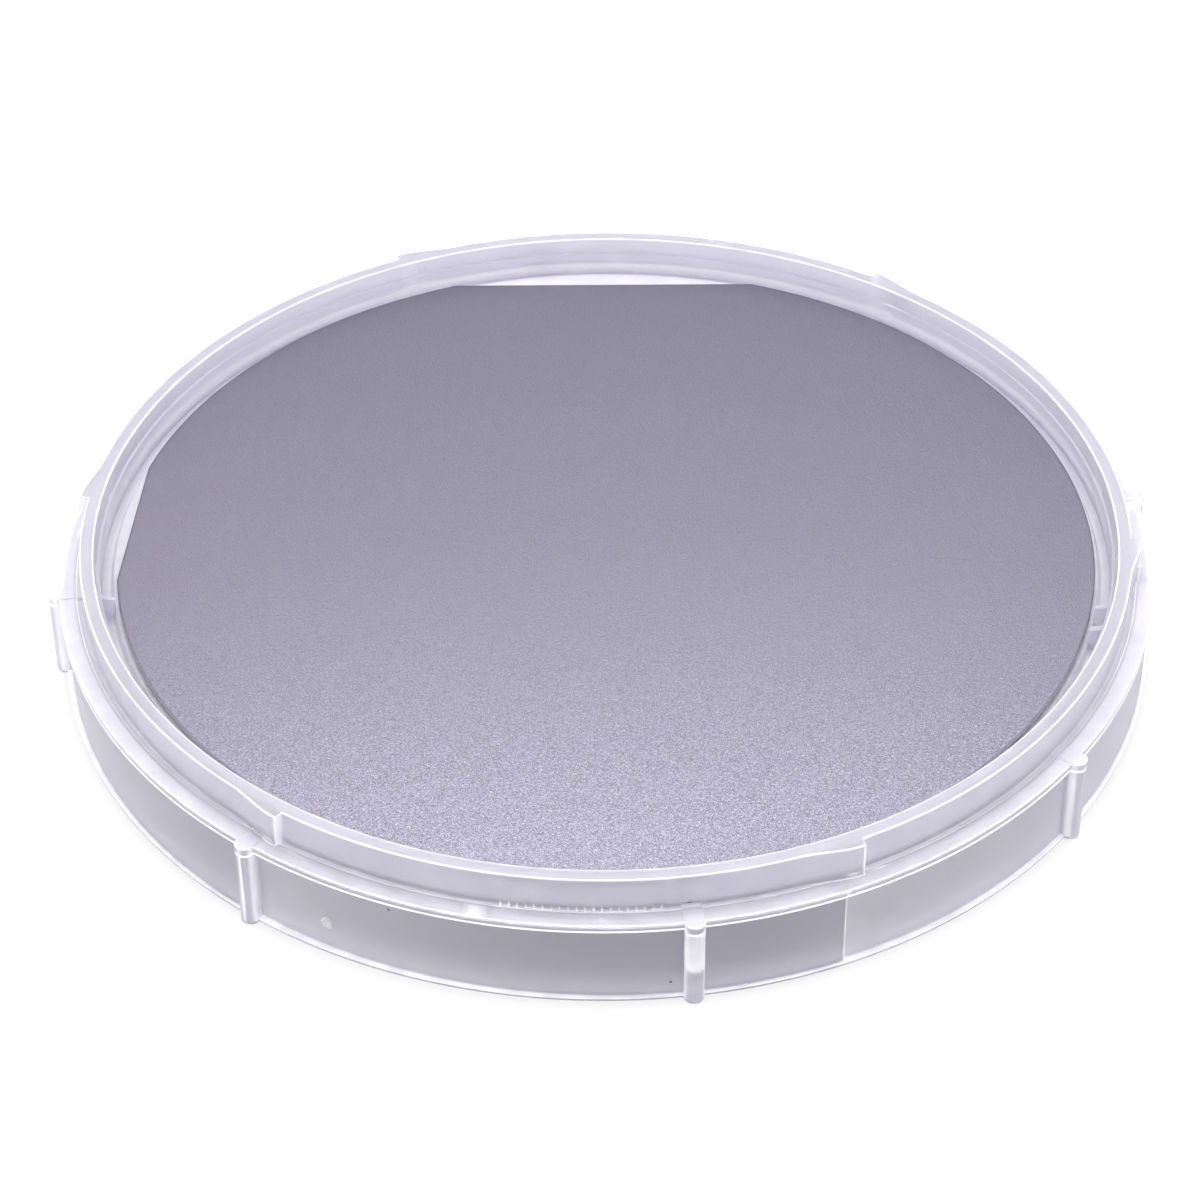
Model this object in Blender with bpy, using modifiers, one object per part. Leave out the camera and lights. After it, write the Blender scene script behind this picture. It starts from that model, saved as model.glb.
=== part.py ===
"""A shallow round dish moulded in one piece, with a loose frosted disc lying on its seat.

Sizes are in metres. The origin is the middle of the dish's foot and +Z points up, out of the pocket.
Angles are in degrees about +Z, from +X towards +Y.
"""

from math import acos, asin, ceil, cos, degrees, pi, radians, sin, tan

import bmesh
import bpy
from mathutils import Vector

# The loose disc: a round plate with a long flat and a short flat ground on its edge.
DISC_RADIUS = 0.0500
DISC_THICKNESS = 0.0005
LONG_FLAT_LENGTH = 0.0335
LONG_FLAT_ANGLE = 90.0
SHORT_FLAT_LENGTH = 0.0190
SHORT_FLAT_ANGLE = 176.0
DISC_EDGE_BEVEL = 0.0001

# The pocket that holds the disc.
SEAT_CLEARANCE = 0.0003  # under the disc
EDGE_CLEARANCE = 0.0016  # between the disc's edge and the pocket's wall, at the seat
POCKET_DEPTH = 0.00365  # from the rim down to the seat
POCKET_DRAFT = 0.0005  # the pocket is this much wider in radius at its rim
SEAT_WIDTH = 0.0039
SEAT_OVERHANG = 0.0004  # the seat reaches this far past the disc's edge
FLOOR_SAG = 0.0008  # the floor dips this much in the middle
GUTTER_DEPTH = 0.00065  # below the seat, between it and the wall
GUTTER_SLOPE = 0.0003  # how far out the gutter's inner side leans

# The collar above the ledge.
COLLAR_WALL = 0.0014
COLLAR_HEIGHT = 0.0034  # from the ledge up to the rim
RIM_FILLET = 0.00025
GROOVE_WIDTH = 0.0006
GROOVE_DEPTH = 0.0003

# The ledge, its bead and the skirt that the dish stands on.
DISH_HEIGHT = 0.0129
LEDGE_WIDTH = 0.0024
BEAD_HEIGHT = 0.0009
BEAD_PROUD = 0.00015  # the bead stands this far out of the skirt
LIP_HEIGHT = 0.0003
LIP_PROUD = 0.00025
SKIRT_WALL = 0.00095  # at its thinnest
FLOOR_WALL = 0.0012
BEAD_FILLET = 0.00015

# Shallow grip sectors in the skirt: each starts with a step and runs out to nothing at the next one.
SECTOR_COUNT = 6
SECTOR_START = -66.9
SECTOR_LAND = 1.0  # degrees of whole skirt left before the next step
SECTOR_DEPTH = 0.00045
SECTOR_END_GAP = 0.00005  # left at a sector's top and bottom, as a root radius
SECTOR_RUNOUT = 0.00006  # a cutter ends this far outside the skirt

# Locking cams on the collar: each grows outwards along a ramp and ends in a step.
CAM_COUNT = 6
CAM_END = -124.4
CAM_SWEEP = 6.7
CAM_PROUD = 0.0009
CAM_ROOT = 0.0001  # a ramp starts this far inside the collar
CAM_TOP_DROP = 0.0001  # below the rim

# Half-round lugs on the skirt, each carried in over the ledge as a low bar.
LUG_COUNT = 8
LUG_START = -82.0
LUG_WIDTH = 0.0019
LUG_PROUD = 0.0011  # beyond the bead
LUG_TOP_PROUD = 0.00015  # above the ledge
LUG_FOOT_GAP = 0.0001  # a lug ends this far above the foot
BAR_WIDTH = 0.0017
BAR_TOP_PROUD = 0.0001
GUSSET_WIDTH = 0.0023
GUSSET_REACH = 0.0008  # into the hollow, from the skirt
GUSSET_BOTTOM = 0.0039

# Small ribs on the pocket's wall that centre the disc.
RIB_ANGLES = (-18.2, -14.2, -168.5)
RIB_WIDTH = 0.0007
RIB_CLEARANCE = 0.00035
RIB_RISE = 0.0012  # above the disc

TURN_STEPS = 96
ARC_STEP = 3.75  # degrees between points on an outline's arcs
CAM_STEP = 1.75  # degrees between points on a cam's ramp
LUG_STEPS = 8  # sides of a lug's round end
FILLET_STEPS = 2
FLOOR_RINGS = 4  # rings of faces in the floor's bowl
MERGE_DISTANCE = 0.000005
BURIED = 0.0003  # how far an added piece reaches into what it grows from
CUT_MARGIN = 0.0010  # how far a cutter reaches past the surface that it cuts

# What follows from the sizes above.
SEAT_HEIGHT = DISH_HEIGHT - POCKET_DEPTH
DISC_BOTTOM = SEAT_HEIGHT + SEAT_CLEARANCE
LEDGE_HEIGHT = DISH_HEIGHT - COLLAR_HEIGHT
SEAT_OUTER = DISC_RADIUS + SEAT_OVERHANG
SEAT_INNER = SEAT_OUTER - SEAT_WIDTH
POCKET_RADIUS = DISC_RADIUS + EDGE_CLEARANCE
RIM_INNER = POCKET_RADIUS + POCKET_DRAFT
COLLAR_RADIUS = RIM_INNER + COLLAR_WALL
BEAD_RADIUS = COLLAR_RADIUS + LEDGE_WIDTH
BEAD_BOTTOM = LEDGE_HEIGHT - BEAD_HEIGHT
SKIRT_RADIUS = BEAD_RADIUS - BEAD_PROUD
LIP_RADIUS = SKIRT_RADIUS + LIP_PROUD
SKIRT_INNER = SKIRT_RADIUS - SECTOR_DEPTH - SKIRT_WALL
GUTTER_BOTTOM = SEAT_HEIGHT - GUTTER_DEPTH
CAM_TOP = DISH_HEIGHT - CAM_TOP_DROP


def clear_scene():
    """Empties the file of every object."""
    for thing in list(bpy.data.objects):
        bpy.data.objects.remove(thing, do_unlink=True)


def new_collection(name):
    """Makes a collection in the scene."""
    collection = bpy.data.collections.new(name)
    bpy.context.scene.collection.children.link(collection)
    return collection


def plastic(name, colour, roughness, alpha=1.0):
    """A plain surface: colour, roughness and how solid it looks."""
    material = bpy.data.materials.new(name)
    material.use_nodes = True
    shader = material.node_tree.nodes["Principled BSDF"]
    shader.inputs["Base Color"].default_value = (*colour, 1.0)
    shader.inputs["Roughness"].default_value = roughness
    shader.inputs["Metallic"].default_value = 0.0
    shader.inputs["Alpha"].default_value = alpha
    return material


def polar(radius, angle):
    """The point at a radius and an angle in the XY plane."""
    return radius * cos(radians(angle)), radius * sin(radians(angle))


def arc(radius, start, end):
    """Points along an arc about the origin, with a point at each end."""
    steps = max(1, ceil(abs(end - start) / ARC_STEP))
    return [polar(radius, start + (end - start) * i / steps) for i in range(steps + 1)]


def radial_box(inner, outer, width, angle):
    """The four corners of a bar that points outwards at an angle."""
    along = Vector(polar(1.0, angle))
    across = Vector(polar(width / 2, angle + 90))
    return [tuple(along * r + across * side) for r, side in ((inner, -1), (outer, -1), (outer, 1), (inner, 1))]


def rounded(corners):
    """Turns (radius, height, fillet) corners into a profile whose corners are arcs of their fillet."""
    points = []
    for i, (x, z, fillet) in enumerate(corners):
        if fillet == 0 or i in (0, len(corners) - 1):
            points.append((x, z))
            continue
        corner = Vector((x, z))
        back = (Vector(corners[i - 1][:2]) - corner).normalized()
        ahead = (Vector(corners[i + 1][:2]) - corner).normalized()
        half = acos(max(-1.0, min(1.0, back.dot(ahead)))) / 2
        centre = corner + (back + ahead).normalized() * (fillet / sin(half))
        start = corner + back * (fillet / tan(half)) - centre
        sweep = start.angle_signed(corner + ahead * (fillet / tan(half)) - centre)
        for step in range(FILLET_STEPS + 1):
            turn = -sweep * step / FILLET_STEPS
            points.append((centre.x + start.x * cos(turn) - start.y * sin(turn),
                           centre.y + start.x * sin(turn) + start.y * cos(turn)))
    return points


def turned(name, profile, collection):
    """A solid of revolution about Z, from a profile of (radius, height) points."""
    mesh = bpy.data.meshes.new(name)
    mesh.from_pydata([(x, 0.0, z) for x, z in profile], [(i, i + 1) for i in range(len(profile) - 1)], [])
    solid = bpy.data.objects.new(name, mesh)
    collection.objects.link(solid)
    screw = solid.modifiers.new("turn", "SCREW")
    screw.axis = "Z"
    screw.angle = 2 * pi
    screw.steps = TURN_STEPS
    screw.render_steps = TURN_STEPS
    screw.use_merge_vertices = True
    screw.merge_threshold = MERGE_DISTANCE
    screw.use_normal_calculate = True
    return solid


def extruded(name, outlines, low, high, collection):
    """Upright prisms on flat outlines, one for each outline, as one mesh object."""
    curve = bpy.data.curves.new(f"{name}_outline", "CURVE")
    curve.dimensions = "2D"
    curve.fill_mode = "BOTH"
    curve.extrude = (high - low) / 2
    for outline in outlines:
        spline = curve.splines.new("POLY")
        spline.points.add(len(outline) - 1)
        for point, (x, y) in zip(spline.points, outline):
            point.co = (x, y, 0.0, 1.0)
        spline.use_cyclic_u = True
    shape = bpy.data.objects.new(f"{name}_outline", curve)
    shape.location.z = (low + high) / 2
    bpy.context.scene.collection.objects.link(shape)
    bpy.context.view_layer.update()
    evaluated = shape.evaluated_get(bpy.context.evaluated_depsgraph_get())
    mesh = bpy.data.meshes.new_from_object(evaluated)
    work = bmesh.new()
    work.from_mesh(mesh)
    bmesh.ops.remove_doubles(work, verts=work.verts, dist=MERGE_DISTANCE)
    bmesh.ops.recalc_face_normals(work, faces=work.faces)
    work.to_mesh(mesh)
    work.free()
    solid = bpy.data.objects.new(name, mesh)
    solid.matrix_world = shape.matrix_world
    bpy.data.objects.remove(shape, do_unlink=True)
    bpy.data.curves.remove(curve)
    collection.objects.link(solid)
    return solid


def combine(target, tool, operation):
    """Cuts a tool out of a target, or joins it on, and hides the tool."""
    modifier = target.modifiers.new(tool.name, "BOOLEAN")
    modifier.operation = operation
    modifier.solver = "EXACT"
    modifier.object = tool
    tool.hide_render = True
    tool.display_type = "WIRE"


def shade(solid):
    """Smooth round faces with sharp corners between them."""
    solid.data.shade_smooth()
    solid.data.set_sharp_from_angle(angle=radians(35))


def floor_curve(height, start, end):
    """A shallow bowl inside the seat: a parabola that dips by the sag in the middle."""
    radii = [start + (end - start) * i / FLOOR_RINGS for i in range(FLOOR_RINGS + 1)]
    return [(r, height - FLOOR_SAG * (1 - (r / SEAT_INNER) ** 2), 0) for r in radii]


def dish_profile():
    """The dish's section, from the middle of the floor, out over the rim, and back under it."""
    ledge_under = LEDGE_HEIGHT - FLOOR_WALL
    gutter_under = GUTTER_BOTTOM - FLOOR_WALL
    seat_under = SEAT_HEIGHT - FLOOR_WALL
    groove = LEDGE_HEIGHT - GROOVE_DEPTH
    outside = [
        (SEAT_OUTER, SEAT_HEIGHT, 0),
        (SEAT_OUTER + GUTTER_SLOPE, GUTTER_BOTTOM, 0),
        (POCKET_RADIUS, GUTTER_BOTTOM, 0),
        (RIM_INNER, DISH_HEIGHT, RIM_FILLET),
        (COLLAR_RADIUS, DISH_HEIGHT, RIM_FILLET),
        (COLLAR_RADIUS, groove, 0),
        (COLLAR_RADIUS + GROOVE_WIDTH, groove, 0),
        (COLLAR_RADIUS + GROOVE_WIDTH, LEDGE_HEIGHT, 0),
        (BEAD_RADIUS, LEDGE_HEIGHT, BEAD_FILLET),
        (BEAD_RADIUS, BEAD_BOTTOM, 0),
        (SKIRT_RADIUS, BEAD_BOTTOM, 0),
        (SKIRT_RADIUS, LIP_HEIGHT, 0),
        (LIP_RADIUS, LIP_HEIGHT, 0),
        (LIP_RADIUS, 0.0, 0),
        (SKIRT_INNER, 0.0, 0),
        (SKIRT_INNER, ledge_under, 0),
        (COLLAR_RADIUS - COLLAR_WALL / 2, ledge_under, 0),
        (COLLAR_RADIUS - COLLAR_WALL / 2, gutter_under, 0),
        (SEAT_OUTER - FLOOR_WALL, gutter_under, 0),
        (SEAT_OUTER - FLOOR_WALL, seat_under, 0),
    ]
    top = floor_curve(SEAT_HEIGHT, 0.0, SEAT_INNER)
    bottom = floor_curve(seat_under, SEAT_INNER, 0.0)
    return rounded(top + outside + bottom)


def sector_outline(index):
    """A crescent that cuts one grip sector: deepest at its step, and nothing at the next step."""
    start = SECTOR_START + index * 360 / SECTOR_COUNT
    sweep = 360 / SECTOR_COUNT - SECTOR_LAND
    steps = ceil(sweep / ARC_STEP)
    inner = []
    for i in range(steps + 1):
        radius = SKIRT_RADIUS - SECTOR_DEPTH + (SECTOR_DEPTH + SECTOR_RUNOUT) * i / steps
        inner.append(polar(radius, start + sweep * i / steps))
    return inner + arc(LIP_RADIUS + CUT_MARGIN, start + sweep, start)


def cam_outline(index):
    """A ramp outside the collar that ends in a step."""
    end = CAM_END + index * 360 / CAM_COUNT
    steps = ceil(CAM_SWEEP / CAM_STEP)
    ramp = []
    for i in range(steps + 1):
        share = i / steps
        rise = (CAM_ROOT + CAM_PROUD) * share * share * (3 - 2 * share)
        ramp.append(polar(COLLAR_RADIUS - CAM_ROOT + rise, end + CAM_SWEEP * (share - 1)))
    return ramp + arc(COLLAR_RADIUS - COLLAR_WALL / 2, end, end - CAM_SWEEP)


def lug_outline(index):
    """A bar in the skirt whose outer end is a half circle."""
    angle = LUG_START + index * 360 / LUG_COUNT
    along = Vector(polar(1.0, angle))
    across = Vector(polar(1.0, angle + 90))
    half = LUG_WIDTH / 2
    inner = SKIRT_INNER + SKIRT_WALL / 2
    centre = BEAD_RADIUS + LUG_PROUD - half
    outline = [along * inner + across * half, along * inner - across * half]
    for i in range(LUG_STEPS + 1):
        turn = pi * i / LUG_STEPS - pi / 2
        outline.append(along * (centre + half * cos(turn)) + across * half * sin(turn))
    return [tuple(point) for point in outline]


def bar_outline(index):
    """The low bar that carries a lug over the ledge to the collar."""
    angle = LUG_START + index * 360 / LUG_COUNT
    return radial_box(COLLAR_RADIUS - BURIED, BEAD_RADIUS + LUG_PROUD / 2, BAR_WIDTH, angle)


def rib_outline(angle):
    """A centring rib, from inside the collar's wall to just clear of the disc's edge."""
    return radial_box(DISC_RADIUS + RIB_CLEARANCE, RIM_INNER + BURIED, RIB_WIDTH, angle)


def disc_outline():
    """A circle with two chords: the long flat and the short flat."""
    half_long = degrees(asin(LONG_FLAT_LENGTH / 2 / DISC_RADIUS))
    half_short = degrees(asin(SHORT_FLAT_LENGTH / 2 / DISC_RADIUS))
    first = arc(DISC_RADIUS, LONG_FLAT_ANGLE + half_long, SHORT_FLAT_ANGLE - half_short)
    return first + arc(DISC_RADIUS, SHORT_FLAT_ANGLE + half_short, LONG_FLAT_ANGLE + 360 - half_long)


def make_dish(parts, cutters, material):
    """The dish: a turned shell with its grip sectors cut, and its cams, lugs and ribs joined on."""
    dish = turned("dish_base", dish_profile(), parts)
    sectors = [sector_outline(i) for i in range(SECTOR_COUNT)]
    cams = [cam_outline(i) for i in range(CAM_COUNT)]
    lugs = [lug_outline(i) for i in range(LUG_COUNT)]
    bars = [bar_outline(i) for i in range(LUG_COUNT)]
    ribs = [rib_outline(angle) for angle in RIB_ANGLES]
    gusset = radial_box(SKIRT_INNER - GUSSET_REACH, SKIRT_INNER + BURIED, GUSSET_WIDTH, LUG_START)
    sector_low = LIP_HEIGHT + SECTOR_END_GAP
    sector_high = BEAD_BOTTOM - SECTOR_END_GAP
    combine(dish, extruded("sector_cut", sectors, sector_low, sector_high, cutters), "DIFFERENCE")
    combine(dish, extruded("cams", cams, LEDGE_HEIGHT - GROOVE_DEPTH - BURIED, CAM_TOP, cutters), "UNION")
    combine(dish, extruded("lugs", lugs, LUG_FOOT_GAP, LEDGE_HEIGHT + LUG_TOP_PROUD, cutters), "UNION")
    bar_bottom = LEDGE_HEIGHT - GROOVE_DEPTH - BURIED
    combine(dish, extruded("bars", bars, bar_bottom, LEDGE_HEIGHT + BAR_TOP_PROUD, cutters), "UNION")
    rib_top = DISC_BOTTOM + DISC_THICKNESS + RIB_RISE
    combine(dish, extruded("ribs", ribs, GUTTER_BOTTOM - BURIED, rib_top, cutters), "UNION")
    gusset_top = LEDGE_HEIGHT - FLOOR_WALL + BURIED
    combine(dish, extruded("gusset", [gusset], GUSSET_BOTTOM, gusset_top, cutters), "UNION")
    dish.data.materials.append(material)
    return dish


def make_disc(parts, material):
    """The loose disc, whose origin is on the line that it lifts along."""
    disc = extruded("frosted_disc", [disc_outline()], 0.0, DISC_THICKNESS, parts)
    disc.location.z = DISC_BOTTOM + DISC_THICKNESS / 2
    bevel = disc.modifiers.new("ground_edge", "BEVEL")
    bevel.width = DISC_EDGE_BEVEL
    bevel.segments = 1
    bevel.limit_method = "ANGLE"
    bevel.angle_limit = radians(60)
    disc.data.materials.append(material)
    shade(disc)
    return disc


def main():
    clear_scene()
    parts = new_collection("petri_dish")
    cutters = new_collection("cutters")
    natural = plastic("natural_plastic", (0.74, 0.73, 0.78), 0.32, alpha=0.8)
    frosted = plastic("frosted_grey", (0.33, 0.32, 0.38), 0.55)
    make_dish(parts, cutters, natural)
    make_disc(parts, frosted)


main()
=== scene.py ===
"""The visible surfaces of a moulded round dish and the loose frosted disc that lies in it."""

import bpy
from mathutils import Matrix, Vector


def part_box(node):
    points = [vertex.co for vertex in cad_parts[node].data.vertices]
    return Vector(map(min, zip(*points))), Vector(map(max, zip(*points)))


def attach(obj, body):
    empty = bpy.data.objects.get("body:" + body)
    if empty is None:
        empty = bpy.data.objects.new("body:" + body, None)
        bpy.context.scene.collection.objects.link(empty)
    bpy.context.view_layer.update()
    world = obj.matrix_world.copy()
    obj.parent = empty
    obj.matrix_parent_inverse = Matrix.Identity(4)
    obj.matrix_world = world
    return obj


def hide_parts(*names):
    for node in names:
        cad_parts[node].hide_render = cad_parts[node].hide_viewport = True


bl_info = {
    "name": "Disc Dish",
    "version": (1, 0, 0),
    "blender": (4, 5, 0),
    "location": "3D View > Sidebar > Dish",
    "description": "Makes the moulded dish, its loose frosted disc and a small studio",
    "category": "Object",
}

from collections import namedtuple
from math import acos, cos, degrees, radians, sin, tan
from types import SimpleNamespace

import bpy
import numpy as np
from bpy.props import FloatProperty, FloatVectorProperty, IntProperty, PointerProperty
from mathutils import Vector

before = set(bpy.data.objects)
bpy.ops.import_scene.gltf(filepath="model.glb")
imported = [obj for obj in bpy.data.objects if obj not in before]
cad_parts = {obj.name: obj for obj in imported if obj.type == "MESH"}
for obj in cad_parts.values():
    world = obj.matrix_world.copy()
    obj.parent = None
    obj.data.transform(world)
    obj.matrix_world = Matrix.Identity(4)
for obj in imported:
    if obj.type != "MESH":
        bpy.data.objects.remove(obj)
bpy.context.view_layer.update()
DISH_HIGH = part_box("dish_base")[1]
DISC_LOW, DISC_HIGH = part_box("frosted_disc")
DISC_SET_BACK = DISC_LOW[1] + DISC_HIGH[0]
MM = 0.001

# The plastic: how clear it is, and how brightly its painted edge highlights glow.
MILK_CLEARNESS = 0.8
MILK_ROUGH = 0.38
SOLID_ROUGH = 0.3
SOLID_SHARE = 0.8
PLASTIC_IOR = 1.49
EDGE_LIGHT = 0.5
FLECK_COLOUR = (0.02, 0.02, 0.03)
FLECK_CORE = 0.08 * MM
FLECK_REACH = 0.2 * MM

# The disc: its grain and its painted sparkle are crisp from SHARP_FROM in front of its middle,
# and blur towards it.
DISC_ROUGH = 0.282
DISC_PALE = 1.36
DISC_DARK = 0.64
SHARP_FROM = 0.046
LEAST_SHARP = 0.06

# The studio: the floor shines outside the dish, from LIT_FROM to LIT_FULL away from its axis,
# and stays dark under it as painted shade.
FLOOR_HALF = 3.0
FLOOR_DROP = 0.1 * MM
FLOOR_LIGHT = 0.86
LIT_FROM = 0.050
LIT_FULL = 0.058
TENT_FRONT = 0.56
TENT_BACK = 1.0
TENT_COLOUR = (0.975, 0.97, 1.03, 1.0)
TENT_FADE = (-0.9, 0.2)
# Each lamp's name, place, width and power.
LAMPS = (
    ("overhead", (0.0, 0.275, 0.635), 0.43, 3.2),
    ("left", (-0.75, -0.10, 0.35), 0.7, 1.75),
    ("right", (0.75, -0.10, 0.35), 0.7, 1.75),
)
# The camera looks down by its dip and leans by its roll, in degrees.
CAMERA_PLACE = (-0.00062, -0.27453, 0.22453)
CAMERA_DIP = 39.02
CAMERA_ROLL = -0.344
CAMERA_LENS = 101.634
CAMERA_SENSOR = 36.0
CAMERA_NEAR = 0.01

# The dish's small features. Angles are degrees about its axis, and a glow of 1 is a full
# painted edge highlight.
GUTTER_DEPTH = 0.65 * MM
SEAT_MARGIN = 0.4 * MM
SEAT_WIDTH = 3.9 * MM
FLOOR_RADII = (2 * MM, 12 * MM, 24 * MM, 36 * MM)
CAM_FOOT = 0.25 * MM
RIB_ANGLES = (-18.2, -14.2, -168.5)
RIB_HALF = 0.36
STEP_HALF = 0.07
STEP_GLOW_HALF = 0.3
CAM_GLOW_HALF = 0.35
EDGE_GLOW = 0.9
FADE = 0.09 * MM
# Tiny teeth at the collar's foot, each with a painted glint.
TOOTH_START = -100.6
TOOTH_COUNT = 20
TOOTH_PITCH = 0.83
TOOTH_HALF = 0.19
NO_TOOTH = 9.0
# Painted highlights: a sliver past each cam's step, a blob before it, and a patch and a spot.
SLIVER = (0.6, 4.6)
SLIVER_FADES = (0.5, 3.0)
BLOB = 1.2
BLOB_HALF = 1.3
PATCH_ANGLE = -102.7
PATCH_HALF = 2.1
SPOT_ANGLE = -90.7
SPOT_HALF = 0.4
# Painted light on whole faces: the thin skirt, the rim, the collar, the ledge, the pocket's wall,
# the seat and the bead.
THIN_GLOW = 0.28
RIM_GLOW = 0.2
COLLAR_GLOW = 0.28
LEDGE_GLOW = 0.43
WALL_GLOW = 0.13
SEAT_GLOW = 0.45
BEAD_GLOW = 0.15
# The front lug's gusset is only a painted pale patch, down to GUSSET_BOTTOM and within GUSSET_REACH
# degrees of the first lug.
GUSSET_BOTTOM = 3.9 * MM
GUSSET_REACH = 5
# The gate ring is whole towards GATE_WORN degrees and worn opposite.
GATE_ANGLE = -118.2
GATE_HEIGHT = 3.15 * MM
GATE_STRETCH = 1.15
GATE_WORN = 70
# The gate ring's reach and height in millimetres, and its painted highlight (glow).
GATE_PROFILE = (
    (0.08, 0.01, 0.0), (0.20, 0.01, 0.0), (0.27, 0.05, 0.3), (0.34, 0.13, 1.0), (0.42, 0.17, 1.4),
    (0.50, 0.14, 1.0), (0.57, 0.06, 0.3), (0.64, 0.0, 0.0), (0.72, -0.10, 0.0),
)
# Dark flecks in the skirt, each at an angle and a height.
FLECKS = ((-84.17, 1.8 * MM), (-111.3, 7.6 * MM))


def length(name, description, default):
    """A size in metres that a user may change."""
    return FloatProperty(
        name=name, description=description, default=default, unit="LENGTH", precision=5
    )


def turn(name, description, default):
    """An angle about the dish's axis, held in degrees."""
    return FloatProperty(name=name, description=description, default=default)


def count(name, description, default):
    """A number of like features."""
    return IntProperty(name=name, description=description, default=default, min=1)


def tint(name, description, default):
    """A colour."""
    return FloatVectorProperty(
        name=name, description=description, default=default, subtype="COLOR", min=0, max=1
    )


class DishSizes(bpy.types.PropertyGroup):
    """Sizes of the moulded dish."""

    rim_height: length("Rim height", "From the foot to the rim", DISH_HIGH[2])
    pocket_radius: length(
        "Pocket radius", "The pocket's wall beside the disc", DISC_HIGH[0] + 1.6 * MM
    )
    pocket_draft: length("Pocket draft", "How much wider the pocket is at its rim", 0.5 * MM)
    collar_wall: length("Collar wall", "Thickness of the collar at the rim", 1.4 * MM)
    collar_height: length("Collar height", "From the ledge up to the rim", 3.4 * MM)
    ledge_width: length("Ledge width", "From the collar out to the bead", 2.4 * MM)
    bead_height: length("Bead height", "Height of the rounded bead under the ledge", 0.9 * MM)
    bead_proud: length("Bead proud", "How far the bead stands out of the skirt", 0.15 * MM)
    lip_height: length("Lip height", "Height of the lip round the foot", 0.3 * MM)
    lip_proud: length("Lip proud", "How far the lip stands out of the skirt", 0.25 * MM)
    skirt_wall: length("Skirt wall", "Thickness of the skirt at its thinnest", 0.95 * MM)
    floor_wall: length("Floor wall", "Thickness of the floor and the ledge", 1.2 * MM)
    floor_sag: length("Floor sag", "How far the floor dips in the middle", 0.8 * MM)
    seat_clearance: length("Seat clearance", "Gap under the disc", 0.3 * MM)
    groove_width: length("Groove width", "Width of the groove at the collar's foot", 0.6 * MM)
    groove_depth: length("Groove depth", "Depth of the groove at the collar's foot", 0.3 * MM)
    sector_count: count("Grip sectors", "Shallow sectors round the skirt", 6)
    sector_start: turn("First sector", "Angle of a sector's step", -66.9)
    sector_depth: length("Sector depth", "Depth of a grip sector at its step", 0.45 * MM)
    cam_count: count("Cams", "Ramped cams on the collar", 6)
    cam_end: turn("Cam end", "Angle of a cam's step", -124.4)
    cam_sweep: turn("Cam sweep", "Length of a cam's ramp", 6.7)
    cam_proud: length("Cam proud", "How far a cam stands out at its step", 0.9 * MM)
    lug_count: count("Lugs", "Half-round lugs on the skirt", 8)
    lug_start: turn("First lug", "Angle of the front lug", -82.0)
    lug_width: length("Lug width", "Width of a lug", 1.9 * MM)
    lug_proud: length("Lug proud", "How far a lug stands beyond the bead", 1.08 * MM)
    bar_proud: length("Bar proud", "How far a lug's bar stands above the ledge", 0.12 * MM)
    rib_proud: length("Rib proud", "How far a centring rib stands into the pocket", 1.25 * MM)
    rib_rise: length("Rib rise", "How far a centring rib rises above the disc", 1.2 * MM)


class DiscSizes(bpy.types.PropertyGroup):
    """Sizes of the loose disc."""

    radius: length("Radius", "Radius of the disc", DISC_HIGH[0])
    set_back: length("Set back", "From the dish's axis back to the disc's middle", DISC_SET_BACK)
    long_flat: length(
        "Long flat", "From the disc's middle to the long flat", DISC_HIGH[1] - DISC_SET_BACK
    )
    short_flat: length("Short flat", "From the disc's middle to the short flat", 49.09 * MM)
    short_flat_angle: turn("Short flat angle", "Direction that the short flat faces", 176.0)
    edge_radius: length("Edge radius", "Rounding of the ground edge", 0.16 * MM)


class Finishes(bpy.types.PropertyGroup):
    """Colours of the surfaces and the studio."""

    plastic: tint("Plastic", "The moulding's own milky colour", (0.865, 0.85, 0.94))
    # The colour of the painted highlights along the plastic's edges, also shown as emission.
    plastic_highlight: tint("Plastic edge", "Where light gathers along an edge", (0.93, 0.92, 0.95))
    disc: tint("Disc", "The disc's lapped face", (0.179, 0.171, 0.212))
    # The disc's rounded edge is paler, partly its ground finish and partly a painted highlight; its
    # painted sparkle specks take this colour too.
    disc_edge_and_sparkle: tint("Disc edge", "The disc's ground edge", (0.48, 0.47, 0.51))
    # The floor is dark; it looks pale only where it shines, and its darkness under the dish is
    # painted shade.
    floor: tint("Floor", "The surface that the dish stands on", (0.22, 0.22, 0.22))


class Sock:
    """A shader socket that can be used in a sum: each operator adds its Math node."""

    def __init__(self, graph, socket):
        self.graph = graph
        self.socket = socket

    def math(self, operation, *others):
        """Adds a Math node on this socket."""
        inputs = dict(enumerate((self, *others)))
        return self.graph.node("ShaderNodeMath", {"operation": operation}, inputs)

    def __add__(self, other):
        return self.math("ADD", other)

    __radd__ = __add__

    def __mul__(self, other):
        return self.math("MULTIPLY", other)

    __rmul__ = __mul__

    def __sub__(self, other):
        return self.math("SUBTRACT", other)

    def __rsub__(self, other):
        return self.graph.node("ShaderNodeMath", {"operation": "SUBTRACT"}, {0: other, 1: self})

    def ramp(self, low, high):
        """0 below low, 1 above high, and smooth between."""
        return self.graph.node(
            "ShaderNodeMapRange",
            {"interpolation_type": "SMOOTHSTEP"},
            {"Value": self, "From Min": low, "From Max": high},
        )


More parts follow.
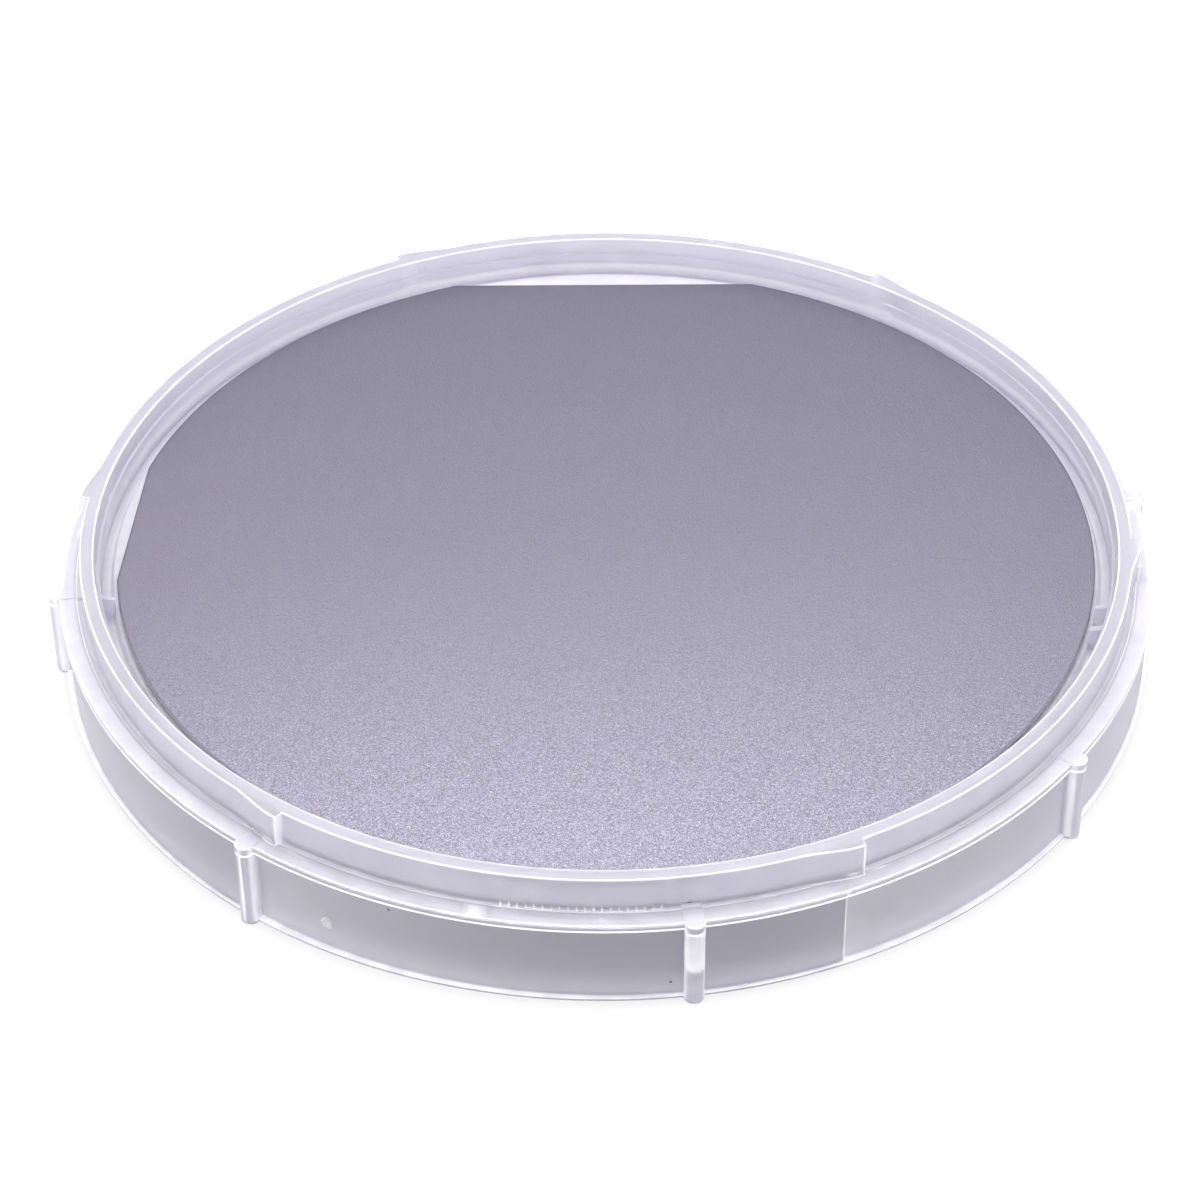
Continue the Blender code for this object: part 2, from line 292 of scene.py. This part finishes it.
class Graph:
    """A material's node tree, emptied, with one method that adds any node."""

    def __init__(self, name):
        self.material = bpy.data.materials.new(name)
        self.material.use_nodes = True
        self.tree = self.material.node_tree
        self.tree.nodes.clear()

    def node(self, kind, settings=None, inputs=None, output=0):
        """Adds a node: its settings, then a value or a link for each named or numbered input."""
        made = self.tree.nodes.new(kind)
        for key, value in (settings or {}).items():
            setattr(made, key, value)
        for key, value in (inputs or {}).items():
            if isinstance(value, Sock):
                self.tree.links.new(value.socket, made.inputs[key])
            elif isinstance(value, (tuple, list)) and made.inputs[key].type == "RGBA":
                made.inputs[key].default_value = (*value[:3], 1.0)
            else:
                made.inputs[key].default_value = value
        return Sock(self, made.outputs[output])

    def mix(self, factor, first, second):
        """A colour between two colours, through the sockets that Mix has for colours."""
        inputs = {0: factor, 6: first, 7: second}
        return self.node("ShaderNodeMix", {"data_type": "RGBA"}, inputs, output=2)

    def bump(self, height, strength, distance):
        """A normal that a height tilts."""
        inputs = {"Strength": strength, "Distance": distance, "Height": height}
        return self.node("ShaderNodeBump", None, inputs)

    def place(self):
        """Where a point is on the object, in metres."""
        return self.node("ShaderNodeTexCoord", output=3)

    def attribute(self, name):
        """A number stored on the mesh."""
        return self.node("ShaderNodeAttribute", {"attribute_name": name}, output=2)

    def noise(self, place, scale, detail):
        """Cloudy variation from 0 to 1."""
        inputs = {"Vector": place, "Scale": scale, "Detail": detail}
        return self.node("ShaderNodeTexNoise", None, inputs)

    def measure(self, operation, *vectors):
        """A number from vectors, such as how far apart two places are."""
        inputs = dict(enumerate(vectors))
        return self.node("ShaderNodeVectorMath", {"operation": operation}, inputs, output=1)

    def surface(self, shader):
        """Ends the tree in a shader."""
        end = self.tree.nodes.new("ShaderNodeOutputMaterial")
        self.tree.links.new(shader.socket, end.inputs["Surface"])
        return self.material


def shade(colour, factor):
    """A colour made darker or paler."""
    return tuple(c * factor for c in colour)


def natural_plastic(looks, section):
    """Milky see-through moulded plastic, with painted highlights that glow along its edges."""
    graph = Graph("natural_plastic")
    place = graph.place()
    cloud = graph.noise(place, 90.0, 3.0).ramp(0.3, 0.7)
    fine = graph.noise(place, 900.0, 2.0)
    # Painted light (glow), along edges and on whole faces, made uneven by noise.
    uneven = graph.noise(place, 420.0, 2.0).ramp(0.25, 0.75)
    glow = graph.attribute("glow") * (uneven * 0.3 + 0.7)
    body = graph.mix(cloud * 0.5, tuple(looks.plastic), shade(looks.plastic, 0.96))
    for angle, height in FLECKS:
        skirt = section.skirt_at(angle)
        centre = (skirt * cos(radians(angle)), skirt * sin(radians(angle)), height)
        away = graph.measure("DISTANCE", place, centre)
        body = graph.mix(1 - away.ramp(FLECK_CORE, FLECK_REACH), body, FLECK_COLOUR)
    # The glow pales the colour and shines as emission, a painted highlight; it also makes the
    # plastic more solid.
    colour = graph.mix(glow, body, tuple(looks.plastic_highlight))
    light = graph.mix(glow * glow, (0.0, 0.0, 0.0), tuple(looks.plastic_highlight))
    bump = graph.bump(fine, 0.08, 0.1 * MM)
    common = {
        "Base Color": colour,
        "IOR": PLASTIC_IOR,
        "Normal": bump,
        "Emission Color": light,
        "Emission Strength": EDGE_LIGHT,
    }
    milk = {"Roughness": MILK_ROUGH, "Transmission Weight": MILK_CLEARNESS, **common}
    milky = graph.node("ShaderNodeBsdfPrincipled", None, milk)
    solid = graph.node("ShaderNodeBsdfPrincipled", None, {"Roughness": SOLID_ROUGH, **common})
    mixed = graph.node("ShaderNodeMixShader", None, {0: glow * SOLID_SHARE, 1: milky, 2: solid})
    return graph.surface(mixed)


def lapped_disc(looks):
    """An evenly lapped hard grey face with a fine grain, painted sparkle specks and a paler edge
    that is partly a painted highlight.
    """
    graph = Graph("lapped_disc")
    place = graph.place()
    back = graph.node("ShaderNodeSeparateXYZ", None, {0: place}, output=1)
    focus = (0.0 - back).ramp(0.0, SHARP_FROM) * (1 - LEAST_SHARP) + LEAST_SHARP
    grain = graph.noise(place, 8000.0, 1.0).ramp(0.32, 0.68)
    # Painted sparkle: pale specks that stand in for glints.
    painted_sparkle = graph.noise(place, 5200.0, 0.0).ramp(0.62, 0.78)
    cloud = graph.noise(place, 45.0, 2.0)
    bump = graph.bump(grain, 0.3, 0.03 * MM)
    share = (grain - 0.5) * focus + 0.5
    face = graph.mix(share, shade(looks.disc, DISC_DARK), shade(looks.disc, DISC_PALE))
    face = graph.mix(painted_sparkle * focus * 0.35, face, tuple(looks.disc_edge_and_sparkle))
    # The rounded edge is paler: partly its ground finish, partly a painted highlight.
    colour = graph.mix(graph.attribute("glow"), face, tuple(looks.disc_edge_and_sparkle))
    roughness = cloud * 0.03 + DISC_ROUGH
    inputs = {"Base Color": colour, "Metallic": 1.0, "Roughness": roughness, "Normal": bump}
    shader = graph.node("ShaderNodeBsdfPrincipled", None, inputs)
    return graph.surface(shader)


def plain_floor(looks):
    """A plain surface that shines pale outside the dish and stays dark under it as painted shade.
    """
    graph = Graph("plain_floor")
    place = graph.place()
    colour = graph.mix(graph.noise(place, 30.0, 2.0), tuple(looks.floor), shade(looks.floor, 0.995))
    # The floor shines only outside the dish; the dark floor under it is painted shade.
    reach = graph.measure("LENGTH", place)
    light = graph.mix(reach.ramp(LIT_FROM, LIT_FULL), (0.0, 0.0, 0.0), (1.0, 1.0, 1.0))
    inputs = {
        "Base Color": colour,
        "Roughness": 0.9,
        "Specular IOR Level": 0.0,
        "Emission Color": light,
        "Emission Strength": FLOOR_LIGHT,
    }
    shader = graph.node("ShaderNodeBsdfPrincipled", None, inputs)
    return graph.surface(shader)


Corner = namedtuple("Corner", "radius height fillet glow face")


def rounded(corners, steps):
    """Profile points with their painted glow.

    A corner is its radius, its height, its fillet in millimetres, the painted glow of the fillet
    and that of the face after it. Every corner becomes an arc, and one with a painted highlight
    fades out over a short shoulder on each side.
    """
    corners = [Corner(*c) for c in corners]
    points = []
    for i, (x, z, fillet, glow, face) in enumerate(corners):
        corner = Vector((x, z))
        if i in (0, len(corners) - 1) or fillet == 0:
            points.append((x, z, glow))
            continue
        back = Vector(corners[i - 1][:2]) - corner
        ahead = Vector(corners[i + 1][:2]) - corner
        room = 0.38 * min(back.length, ahead.length)
        fades = [min(FADE, 0.1 * side.length) for side in (back, ahead)]
        back.normalize()
        ahead.normalize()
        half = acos(max(-0.999999, min(0.999999, back.dot(ahead)))) / 2
        reach = min(fillet * MM / tan(half), room)
        first = corner + back * reach
        last = corner + ahead * reach
        if glow is not None:
            point = corner + back * (reach + fades[0])
            points.append((point.x, point.y, corners[i - 1].face))
        for step in range(steps + 1):
            t = step / steps
            point = first * (1 - t) ** 2 + corner * 2 * t * (1 - t) + last * t * t
            points.append((point.x, point.y, face if glow is None else glow))
        if glow is not None:
            point = corner + ahead * (reach + fades[1])
            points.append((point.x, point.y, face))
    return points


def smooth(share):
    """0 at 0 and 1 at 1, level at both ends."""
    share = max(0.0, min(1.0, share))
    return share * share * (3 - 2 * share)


def angle_past(angle, start):
    """Degrees from start round to angle, from -180 to 180."""
    return (angle - start + 180) % 360 - 180


def teeth_before(angle):
    """How many teeth lie before an angle. It is a half at the middle of the first one."""
    return angle_past(angle, TOOTH_START) / TOOTH_PITCH + 0.5


def offset_from(angle, start, number):
    """Degrees from the nearest of a ring of evenly spaced features."""
    pitch = 360 / number
    return (angle - start + pitch / 2) % pitch - pitch / 2


def spread(starts, offsets):
    """Every offset from every start."""
    return [start + offset for start in starts for offset in offsets]


def around(start, number):
    """The angles of a ring of evenly spaced features."""
    return [start + 360 / number * i for i in range(number)]


class Section:
    """The dish's section at an angle, whose corners its sectors, cams, lugs, bars and ribs move.

    In its methods s is the sizes, c what collar_features gives and k what skirt_features gives.
    """

    def __init__(self, sizes):
        self.sizes = sizes
        self.ledge = sizes.rim_height - sizes.collar_height
        self.bead_low = self.ledge - sizes.bead_height
        self.seat = DISC_LOW[2] - sizes.seat_clearance
        self.gutter = self.seat - GUTTER_DEPTH
        self.seat_outer = DISC_HIGH[0] + SEAT_MARGIN
        self.seat_inner = self.seat_outer - SEAT_WIDTH
        self.rim_inner = sizes.pocket_radius + sizes.pocket_draft
        self.collar = self.rim_inner + sizes.collar_wall
        self.bead = self.collar + sizes.ledge_width
        self.skirt = self.bead - sizes.bead_proud
        self.inner = self.skirt - sizes.sector_depth - sizes.skirt_wall

    def angles(self):
        """Even angles, with more where the section changes quickly."""
        s = self.sizes
        steps = (-0.6, -0.3, -0.12, -STEP_HALF, 0, STEP_HALF, 0.12, 0.3, 0.6)
        half = degrees(s.lug_width / 2 / self.bead)
        edge = [half + d for d in (0.015, 0.05, 0.12, 0.3)]
        lug = [sin(radians(a)) * half for a in range(-90, 91, 10)] + edge + [-e for e in edge]
        rib = (-0.55, -0.42, -RIB_HALF, -0.2, 0, 0.2, RIB_HALF, 0.42, 0.55)
        patch = [PATCH_HALF * d for d in (-1, -0.6, -0.3, 0, 0.3, 0.6, 1)]
        teeth = [TOOTH_START + TOOTH_PITCH * i for i in range(TOOTH_COUNT)]
        found = list(np.arange(0, 360, 0.75))
        found += spread(around(s.sector_start, s.sector_count), steps)
        found += spread(around(s.cam_end, s.cam_count), steps)
        found += spread(around(s.lug_start, s.lug_count), lug)
        found += spread(RIB_ANGLES, rib)
        found += spread([PATCH_ANGLE], patch)
        found += spread([SPOT_ANGLE], (-SPOT_HALF, -SPOT_HALF / 2, 0, SPOT_HALF / 2, SPOT_HALF))
        found += spread(teeth, (-TOOTH_HALF, -TOOTH_HALF / 2, 0, TOOTH_HALF / 2, TOOTH_HALF))
        found = np.sort(np.array(found) % 360)
        keep = np.concatenate([[True], np.diff(found) > 0.012])
        return found[keep]

    def sector_share(self, angle):
        """How much of its grip sector lies before an angle."""
        pitch = 360 / self.sizes.sector_count
        return ((angle - self.sizes.sector_start) % pitch) / pitch

    def skirt_at(self, angle):
        """The skirt's radius at an angle between two sectors' steps."""
        return self.skirt - self.sizes.sector_depth * (1 - self.sector_share(angle))

    def collar_features(self, angle):
        """The cams, the teeth at the collar's foot, and the painted highlights and glints at and
        beside them.
        """
        s = self.sizes
        to_cam = (angle - s.cam_end + s.cam_sweep) % (360 / s.cam_count)
        past_step = to_cam - s.cam_sweep
        cam = s.cam_proud * smooth(to_cam / s.cam_sweep) * smooth(1 - past_step / 2 / STEP_HALF)
        past_cam = offset_from(angle, s.cam_end, s.cam_count)
        sliver = smooth((past_cam - SLIVER[0]) / SLIVER_FADES[0])
        sliver *= smooth((SLIVER[1] - past_cam) / SLIVER_FADES[1])
        teeth = teeth_before(angle)
        tooth = (teeth % 1 - 0.5) * TOOTH_PITCH if 0 < teeth < TOOTH_COUNT else NO_TOOTH
        cam_glow = EDGE_GLOW * smooth(1 - abs(past_step) / CAM_GLOW_HALF)
        collar = self.collar + cam
        return SimpleNamespace(
            radius=collar,
            groove=max(self.collar + s.groove_width, collar + CAM_FOOT),
            cam_glow=cam_glow,
            glow=max(COLLAR_GLOW, cam_glow),
            sliver=EDGE_GLOW * sliver,
            blob=smooth(1 - abs(past_cam + BLOB) / BLOB_HALF),
            tooth=smooth(1 - abs(tooth) / TOOTH_HALF),
        )

    def skirt_features(self, angle):
        """The sectors' steps, the lugs with their bars, the front lug's gusset, and the painted
        light on them and on the thin skirt.
        """
        s = self.sizes
        share = self.sector_share(angle)
        to_step = offset_from(angle, s.sector_start, s.sector_count)
        depth = s.sector_depth * (1 - share)
        if -STEP_HALF < to_step < STEP_HALF:
            depth = s.sector_depth * smooth((to_step + STEP_HALF) / 2 / STEP_HALF)
        # Painted light: a line at each step, the lugs' sides, more light through the thinner skirt,
        # and the gusset's pale patch.
        step_glow = smooth(1 - abs(to_step) / STEP_GLOW_HALF)
        to_lug = radians(offset_from(angle, s.lug_start, s.lug_count)) * self.bead
        half = s.lug_width / 2
        inside = abs(to_lug) <= half
        centre = self.bead + s.lug_proud - half
        lug = centre + (max(0.0, half * half - to_lug * to_lug)) ** 0.5 if inside else 0.0
        side = smooth((abs(to_lug) / half - 0.72) / 0.2)
        lug_glow = (0.2 + 0.6 * side) if inside else 0.0
        front = inside and abs(angle_past(angle, s.lug_start)) < GUSSET_REACH
        glow = max(step_glow, lug_glow)
        thin = THIN_GLOW * (1 - share) ** 2 if not inside else 0.0
        return SimpleNamespace(
            skirt=max(self.skirt - depth, lug),
            bead=max(self.bead, lug),
            lip=max(self.skirt + s.lip_proud, lug),
            bar=s.bar_proud * smooth((half - abs(to_lug)) / (0.15 * MM) + 0.5),
            lug_glow=lug_glow,
            bead_glow=max(BEAD_GLOW, EDGE_GLOW * step_glow, lug_glow),
            glow=glow,
            skirt_glow=max(thin, glow),
            gusset_glow=max(glow, 0.75 + 0.15 * side if front else lug_glow),
        )

    def rib_at(self, angle):
        """1 on a centring rib, 0 between them."""
        return max(smooth((RIB_HALF + 0.04 - abs(angle_past(angle, a))) / 0.06) for a in RIB_ANGLES)

    def pocket(self, rib):
        """Corners from the seat, through the gutter and up the pocket's wall to the rim."""
        s = self.sizes
        wall = s.pocket_radius - s.rib_proud * rib
        rib_top = DISC_HIGH[2] + s.rib_rise
        wall_top = s.pocket_radius
        wall_top += s.pocket_draft * (rib_top - self.gutter) / (s.rim_height - self.gutter)
        # These glows paint light on the seat, the wall, the ribs and the rim's inner edge.
        low_glow = WALL_GLOW + 0.2 * rib
        return [
            (self.seat_inner, self.seat, 0.3, None, SEAT_GLOW),
            (self.seat_outer, self.seat, 0.12, 0.4, SEAT_GLOW),
            (self.seat_outer + 0.3 * MM, self.gutter, 0.12, None, SEAT_GLOW),
            (wall, self.gutter, 0.15, None, low_glow),
            (wall, rib_top - 0.5 * MM * rib, 0.12, WALL_GLOW + 0.3 * rib, low_glow),
            (wall_top, rib_top + 0.1 * MM, 0, WALL_GLOW, WALL_GLOW),
            (self.rim_inner, s.rim_height, 0.12, 0.75, RIM_GLOW),
        ]

    def collar_side(self, c, groove_floor):
        """Corners from the rim down the collar's outside to the floor of its groove."""
        # These glows paint highlights on the rim's edge, at each cam's step, in the blob, on the
        # teeth and along the groove.
        foot_glow = max(1.2 * c.tooth, c.cam_glow)
        return [
            (c.radius, self.sizes.rim_height, 0.08, 1.0, c.glow),
            (c.radius, self.ledge + 0.45 * MM, 0, c.glow, 0),
            (c.radius, self.ledge + 0.22 * MM, 0, max(c.glow, 0.9 * c.blob), 0),
            (c.radius, self.ledge - 0.02 * MM, 0, max(c.glow, 0.7 * c.tooth, 0.5 * c.blob), 0),
            (c.radius + 0.05 * MM * c.tooth, groove_floor + 0.17 * MM, 0, max(0.3, foot_glow), 0),
            (c.radius + 0.09 * MM * c.tooth, groove_floor + 0.06 * MM, 0, max(0.45, foot_glow), 0),
            (c.radius + 0.12 * MM, groove_floor, 0, max(0.4, c.tooth, c.blob), 0.3),
            (c.groove, groove_floor, 0.04, max(0.5, c.sliver, c.blob), 1.0),
        ]

    def ledge_top(self, angle, c, k):
        """Corners from the groove's outer edge over the ledge to the bead."""
        top = self.ledge + k.bar
        # Painted highlights on the ledge: a patch, a spot, the sliver past each cam and some of
        # each lug's light.
        patch = EDGE_GLOW * smooth(1 - abs(angle_past(angle, PATCH_ANGLE)) / PATCH_HALF)
        spot = EDGE_GLOW * smooth(1 - abs(angle_past(angle, SPOT_ANGLE)) / SPOT_HALF)
        glow = max(LEDGE_GLOW, patch, 0.5 * k.lug_glow)
        parts = ((0.1, 0.1, 0), (0.2, max(glow, c.sliver), 0), (0.32, glow, 0),
                 (0.55, max(glow, spot), 0), (0.75, glow, glow))
        edge = [(c.groove, top, 0.1, 1.0, 0.1)]
        flat = [(c.groove + (self.bead - c.groove) * part, top, 0, g, f) for part, g, f in parts]
        return edge + flat + [(k.bead, top, 0.06, 1.0, k.bead_glow)]

    def skirt_side(self, k):
        """Corners from under the bead's top, down the skirt and round its lip to the foot."""
        lip_height = self.sizes.lip_height
        # Painted light: bright lines under the bead and at the lip, and the gusset's pale patch on
        # the front lug.
        gusset = max(k.skirt_glow, k.gusset_glow)
        return [
            (k.bead, self.bead_low + 0.32 * MM, 0, k.bead_glow, 0),
            (k.bead, self.bead_low + 0.2 * MM, 0, 1.2, 1.2),
            (k.bead, self.bead_low, 0.05, 1.2, k.gusset_glow),
            (k.skirt, self.bead_low, 0.05, None, gusset),
            (k.skirt, GUSSET_BOTTOM + 0.4 * MM, 0, gusset, 0),
            (k.skirt, GUSSET_BOTTOM - 0.2 * MM, 0, k.skirt_glow, k.skirt_glow),
            (k.skirt, lip_height, 0.08, max(0.6, k.glow), 0.95),
            (k.lip, lip_height, 0.05, 1.0, 0.0),
            (k.lip, 0.0, 0.08, 0.0, 0.0),
        ]

    def underside(self):
        """Corners from the foot, up inside the skirt and in to the floor's edge."""
        under = self.sizes.floor_wall
        inside = self.collar - self.sizes.collar_wall / 2
        return [
            (self.inner, 0.0, 0.1, None, 0.0),
            (self.inner, self.ledge - under, 0.2, None, 0.0),
            (inside, self.ledge - under, 0.15, None, 0.0),
            (inside, self.gutter - under, 0.15, None, 0.0),
            (self.seat_outer - under, self.gutter - under, 0.15, None, 0.0),
            (self.seat_outer - under, self.seat - under, 0.15, None, 0.0),
            (self.seat_inner, self.seat - under, 0.3, None, 0.0),
        ]

    def corners(self, angle):
        """All corners, from the middle of the floor, out over the rim and back under it."""
        s = self.sizes
        c = self.collar_features(angle)
        k = self.skirt_features(angle)
        groove_floor = self.ledge - s.groove_depth * (1 - k.bar / s.bar_proud)
        sag = [s.floor_sag * (1 - (r / self.seat_inner) ** 2) for r in FLOOR_RADII]
        floor = [(r, self.seat - dip, 0, 0, 0) for r, dip in zip(FLOOR_RADII, sag)]
        outside = self.pocket(self.rib_at(angle)) + self.collar_side(c, groove_floor)
        outside += self.ledge_top(angle, c, k) + self.skirt_side(k) + self.underside()
        bottom = [(r, z - s.floor_wall, f, g, 0) for r, z, f, g, _ in reversed(floor)]
        return floor + outside + bottom

    def points(self, angle):
        """Profile points with their glow."""
        return rounded(self.corners(angle), 3)


def lathe_mesh(name, rings, low_centre, high_centre):
    """A closed skin from rings of points round Z. Each ring is an array of (x, y, z, glow)."""
    turns, across = rings.shape[:2]
    points = rings[:, :, :3].reshape(-1, 3)
    glow = rings[:, :, 3].reshape(-1)
    top = len(points)
    points = np.vstack([points, [high_centre, low_centre]])
    glow = np.concatenate([glow, [0.0, 0.0]])
    index = np.arange(turns * across).reshape(turns, across)
    after = np.roll(index, -1, axis=0)
    quads = np.stack([index[:, :-1], index[:, 1:], after[:, 1:], after[:, :-1]], axis=-1)
    quads = quads.reshape(-1, 4)
    fans = [(top, int(a), int(b)) for a, b in zip(index[:, 0], after[:, 0])]
    fans += [(top + 1, int(b), int(a)) for a, b in zip(index[:, -1], after[:, -1])]
    mesh = bpy.data.meshes.new(name)
    mesh.from_pydata(points.tolist(), [], quads.tolist() + fans)
    mesh.attributes.new("glow", "FLOAT", "POINT").data.foreach_set("value", glow.astype(np.float32))
    mesh.shade_smooth()
    mesh.update()
    return mesh


def add_piece(mesh, body, material, slot, *nodes):
    """Puts a mesh in the scene as a piece that rides a body and stands for CAD nodes."""
    piece = bpy.data.objects.new(mesh.name, mesh)
    bpy.context.scene.collection.objects.link(piece)
    mesh.materials.append(material)
    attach(piece, body)
    if nodes:
        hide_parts(*nodes)
    return piece


def weigh_normals(piece):
    """Makes flat faces shade flat beside their fillets."""
    weighted = piece.modifiers.new("flat_faces", "WEIGHTED_NORMAL")
    weighted.mode = "FACE_AREA"
    weighted.weight = 80
    weighted.keep_sharp = True


class DISH_OT_shell(bpy.types.Operator):
    """Makes the moulded dish with its collar, cams, ledge, lugs and skirt"""

    bl_idname = "dish.shell"
    bl_label = "Moulded dish"

    def execute(self, context):
        section = Section(context.scene.dish_sizes)
        rings = []
        for angle in section.angles():
            profile = np.array(section.points(angle))
            reach, height, glow = profile.T
            a = radians(angle)
            rings.append(np.stack([reach * cos(a), reach * sin(a), height, glow], axis=-1))
        middle = section.seat - section.sizes.floor_sag
        low = (0, 0, middle - section.sizes.floor_wall)
        mesh = lathe_mesh("dish_shell", np.array(rings), low, (0, 0, middle))
        material = natural_plastic(context.scene.dish_finishes, section)
        piece = add_piece(mesh, "dish", material, "natural_plastic", "dish_base")
        weigh_normals(piece)
        return {"FINISHED"}


class DISH_OT_gate(bpy.types.Operator):
    """Makes the small raised ring that the mould's gate left on the skirt"""

    bl_idname = "dish.gate"
    bl_label = "Gate mark"

    def execute(self, context):
        section = Section(context.scene.dish_sizes)
        skirt = section.skirt_at(GATE_ANGLE)
        out = Vector((cos(radians(GATE_ANGLE)), sin(radians(GATE_ANGLE)), 0))
        across = Vector((-out.y, out.x, 0))
        centre = out * skirt + Vector((0, 0, GATE_HEIGHT))

        def at(reach, bearing, proud):
            """A point of the ring, by its reach from the middle and its height above the skirt."""
            side, rise = reach * cos(bearing), reach * GATE_STRETCH * sin(bearing)
            return centre + (across * side + Vector((0, 0, rise)) + out * proud) * MM

        rings = []
        for bearing in np.radians(np.arange(0, 360, 12)):
            # The ring's height and its painted highlight both shrink where it is worn.
            worn = 0.35 + 0.65 * smooth(0.5 + 0.7 * cos(bearing - radians(GATE_WORN)))
            rows = [(*at(r, bearing, h * worn), g * worn) for r, h, g in GATE_PROFILE]
            rows += [(*at(r, bearing, -0.2), 0.0) for r in (0.72, 0.1)]
            rings.append(rows)
        mesh = lathe_mesh("gate_mark", np.array(rings), tuple(at(0, 0, -0.2)), tuple(at(0, 0, 0.0)))
        add_piece(mesh, "dish", bpy.data.materials["natural_plastic"], "natural_plastic")
        return {"FINISHED"}


class DISH_OT_disc(bpy.types.Operator):
    """Makes the loose frosted disc with its two flats"""

    bl_idname = "dish.disc"
    bl_label = "Frosted disc"

    def execute(self, context):
        s = context.scene.disc_sizes
        turns = np.radians(np.arange(0, 360, 0.5))
        low, high = DISC_LOW[2], DISC_HIGH[2]
        bend = s.edge_radius
        arc = [(radians(90 * i / 4), i / 4) for i in range(5)]
        section = [(0.9 * s.radius, high, 0), (bend * 2, high, 0)]
        # The glow paints a highlight on the rounded edge, rising over its top arc and full on its
        # lower arc.
        section += [(bend * (1 - sin(t)), high - bend * (1 - cos(t)), glow) for t, glow in arc]
        section += [(bend * (1 - cos(t)), low + bend * (1 - sin(t)), 1.0) for t, _ in arc]
        section += [(bend * 4, low, 0), (0.9 * s.radius, low, 0)]
        rings = []
        for inset, z, glow in section:
            reach = np.full_like(turns, s.radius - inset)
            for distance, facing in ((s.long_flat, 90.0), (s.short_flat, s.short_flat_angle)):
                lean = np.cos(turns - radians(facing))
                flat = (distance - inset) / np.maximum(lean, 0.5)
                reach = np.where(lean > 0.5, np.minimum(reach, flat), reach)
            across, back = reach * np.cos(turns), reach * np.sin(turns) + s.set_back
            level = [np.full_like(turns, value) for value in (z, glow)]
            rings.append(np.stack([across, back, *level], axis=-1))
        rings = np.array(rings).transpose(1, 0, 2)
        mesh = lathe_mesh("disc_face", rings, (0, s.set_back, low), (0, s.set_back, high))
        material = lapped_disc(context.scene.dish_finishes)
        piece = add_piece(mesh, "disc", material, "frosted_grey", "frosted_disc")
        weigh_normals(piece)
        return {"FINISHED"}


class DISH_OT_stage(bpy.types.Operator):
    """Makes the floor, the soft lights and the camera"""

    bl_idname = "dish.stage"
    bl_label = "Studio"

    def execute(self, context):
        scene = context.scene
        mesh = bpy.data.meshes.new("floor")
        signs = ((-1, -1), (1, -1), (1, 1), (-1, 1))
        corners = [(FLOOR_HALF * x, FLOOR_HALF * y, 0) for x, y in signs]
        mesh.from_pydata(corners, [], [(0, 1, 2, 3)])
        mesh.materials.append(plain_floor(scene.dish_finishes))
        floor = bpy.data.objects.new("floor", mesh)
        floor.location.z = -FLOOR_DROP
        scene.collection.objects.link(floor)
        scene.world = self.tent()
        for lamp in LAMPS:
            self.lamp(scene, *lamp)
        camera_data = bpy.data.cameras.new("camera")
        camera_data.lens = CAMERA_LENS
        camera_data.sensor_width = CAMERA_SENSOR
        camera_data.clip_start = CAMERA_NEAR
        camera = bpy.data.objects.new("camera", camera_data)
        camera.location = CAMERA_PLACE
        camera.rotation_euler = (radians(90 - CAMERA_DIP), 0, 0)
        camera.rotation_euler.rotate_axis("Z", radians(CAMERA_ROLL))
        scene.collection.objects.link(camera)
        scene.camera = camera
        scene.view_settings.view_transform = "Standard"
        return {"FINISHED"}

    def tent(self):
        """A white tent with a dim opening at the front."""
        world = bpy.data.worlds.new("tent")
        world.use_nodes = True
        nodes, links = world.node_tree.nodes, world.node_tree.links
        split = nodes.new("ShaderNodeSeparateXYZ")
        links.new(nodes.new("ShaderNodeTexCoord").outputs["Generated"], split.inputs[0])
        ramp = nodes.new("ShaderNodeMapRange")
        ramp.interpolation_type = "SMOOTHSTEP"
        links.new(split.outputs["Y"], ramp.inputs["Value"])
        limits = (*TENT_FADE, TENT_FRONT, TENT_BACK)
        for name, value in zip(("From Min", "From Max", "To Min", "To Max"), limits):
            ramp.inputs[name].default_value = value
        links.new(ramp.outputs[0], nodes["Background"].inputs["Strength"])
        nodes["Background"].inputs["Color"].default_value = TENT_COLOUR
        return world

    def lamp(self, scene, name, place, size, power):
        """A soft square lamp that faces the dish."""
        data = bpy.data.lights.new(name, "AREA")
        data.size = size
        data.energy = power
        lamp = bpy.data.objects.new(name, data)
        lamp.location = place
        lamp.rotation_euler = (-Vector(place)).to_track_quat("-Z", "Y").to_euler()
        scene.collection.objects.link(lamp)


class DISH_PT_panel(bpy.types.Panel):
    """Lists the dish's pieces"""

    bl_label = "Disc dish"
    bl_idname = "DISH_PT_panel"
    bl_space_type = "VIEW_3D"
    bl_region_type = "UI"
    bl_category = "Dish"

    def draw(self, context):
        for step in STEPS:
            self.layout.operator(step.bl_idname)


STEPS = (DISH_OT_stage, DISH_OT_shell, DISH_OT_gate, DISH_OT_disc)
GROUPS = {"dish_sizes": DishSizes, "disc_sizes": DiscSizes, "dish_finishes": Finishes}


def register():
    for group in (*GROUPS.values(), *STEPS, DISH_PT_panel):
        bpy.utils.register_class(group)
    for name, group in GROUPS.items():
        setattr(bpy.types.Scene, name, PointerProperty(type=group))


def unregister():
    for name in GROUPS:
        delattr(bpy.types.Scene, name)
    for group in reversed((*GROUPS.values(), *STEPS, DISH_PT_panel)):
        bpy.utils.unregister_class(group)


def main():
    register()
    for step in STEPS:
        area, action = step.bl_idname.split(".")
        getattr(getattr(bpy.ops, area), action)()
    bpy.context.view_layer.update()


if __name__ == "__main__":
    main()
